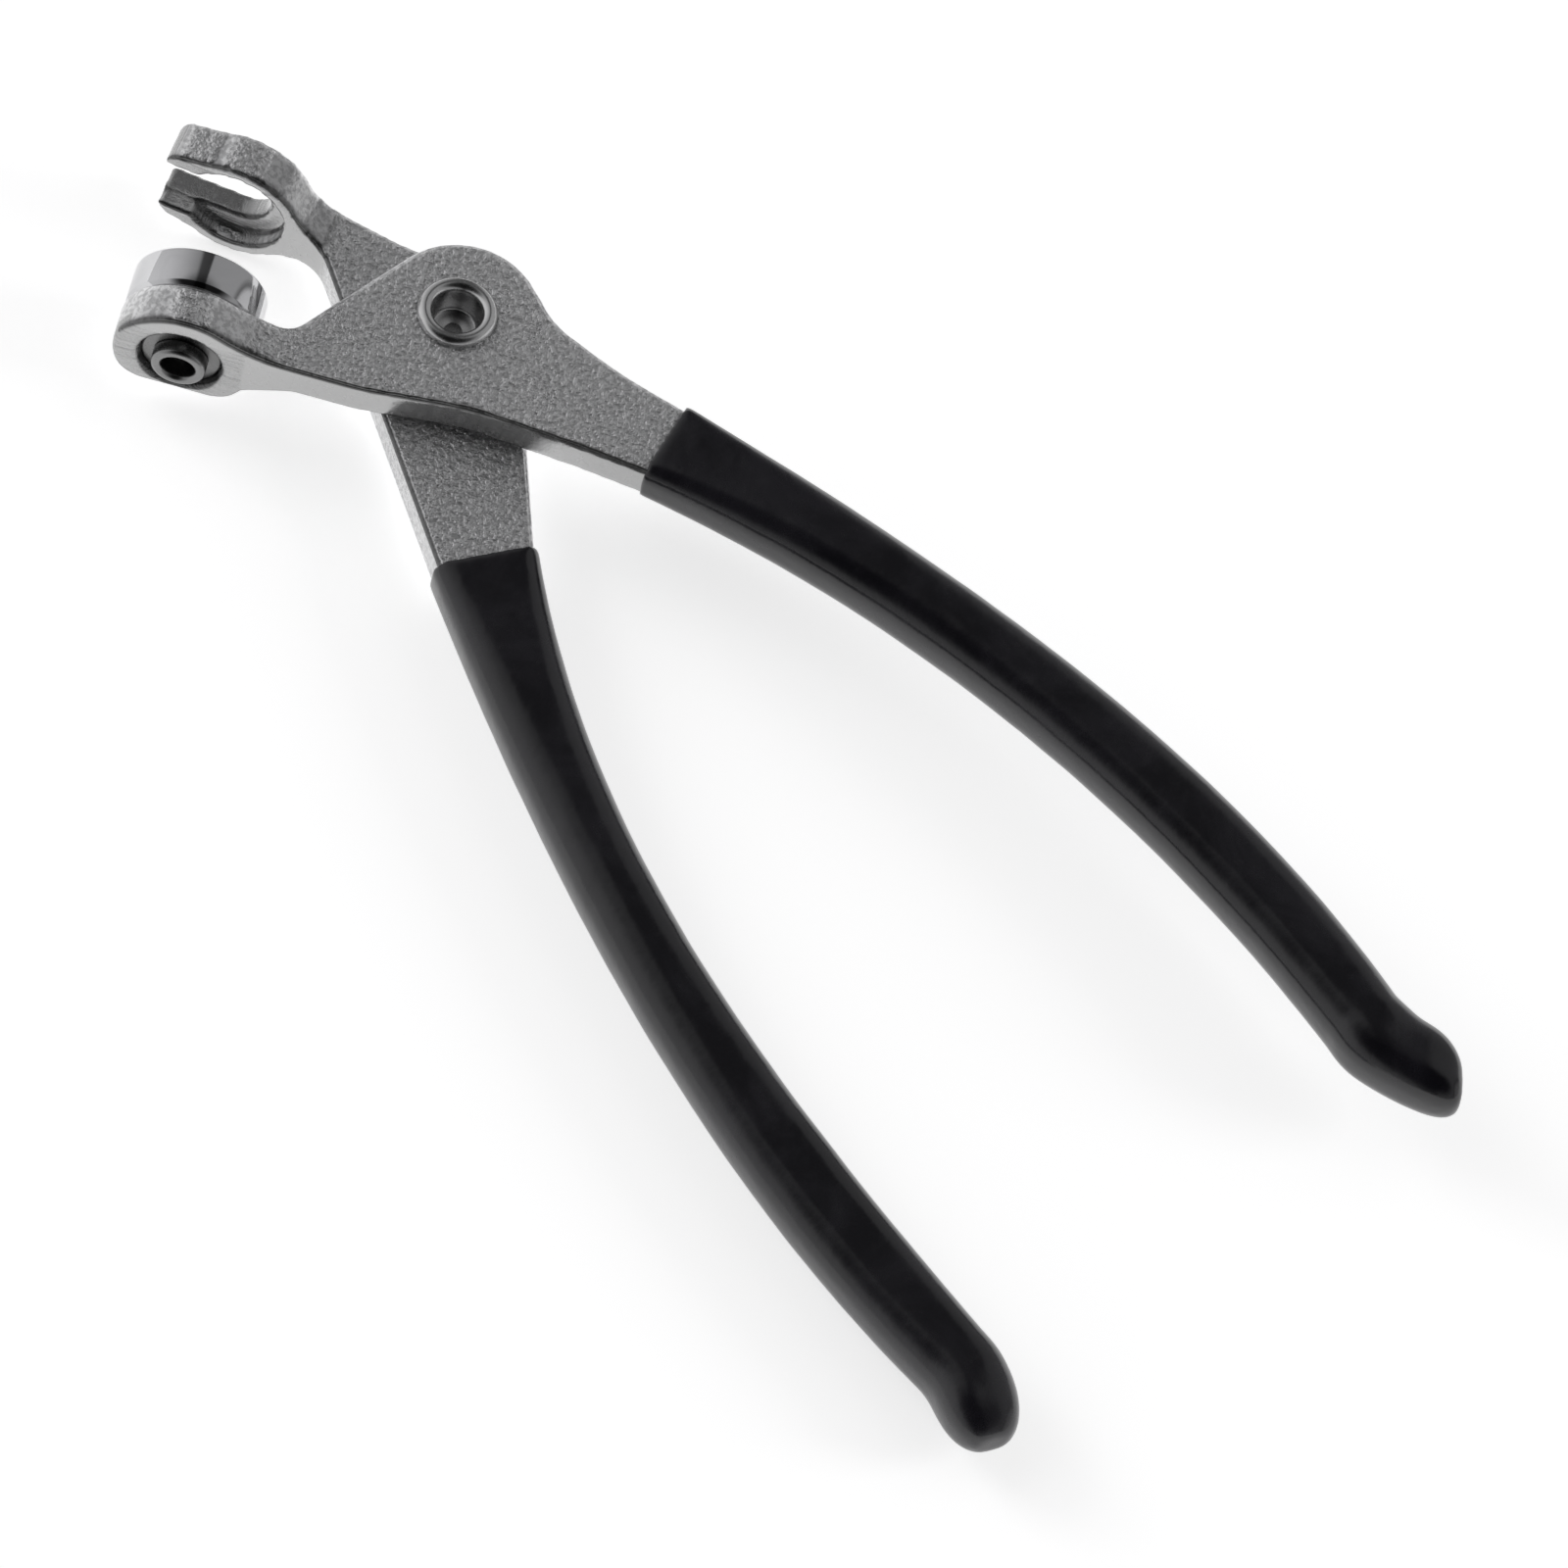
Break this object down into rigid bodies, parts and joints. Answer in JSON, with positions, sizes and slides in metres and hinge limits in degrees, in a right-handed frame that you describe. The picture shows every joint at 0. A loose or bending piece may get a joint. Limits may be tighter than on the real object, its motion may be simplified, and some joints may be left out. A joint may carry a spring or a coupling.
{
  "type": "snap setter pliers",
  "caption": "Hand pliers that set snap fasteners: slotted fork jaw over a round cupped die, levers lapped on a tubular rivet, dipped vinyl grips.",
  "frame": {"origin": "on the pivot axis, in the near face of the lap joint", "axes": "+X along the die jaw towards the handles, +Y from the die to the fork jaw, +Z out of the near face along the pivot axis"},
  "size_m": [0.1904, 0.1527, 0.0178],
  "materials": {
    "lever_plating": "satin nickel plate over a pebbled casting",
    "die_plating": "polished nickel plate",
    "rivet_plating": "bright plate",
    "grip_vinyl": "glossy dipped vinyl"
  },
  "bodies": {
    "die_side": {"die_lever": "lever_plating", "die_lever_grip": "grip_vinyl", "pivot_rivet": "rivet_plating", "setting_die": "die_plating", "die_washer": "rivet_plating"},
    "fork_side": {"fork_lever": "lever_plating", "fork_lever_grip": "grip_vinyl"}
  },
  "joints": [
    {"name": "pivot", "type": "hinge", "parent": "die_side", "child": "fork_side", "pos_m": [0, 0, 0], "axis": [0, 0, 1], "range_deg": [-12, 17.5]}
  ]
}
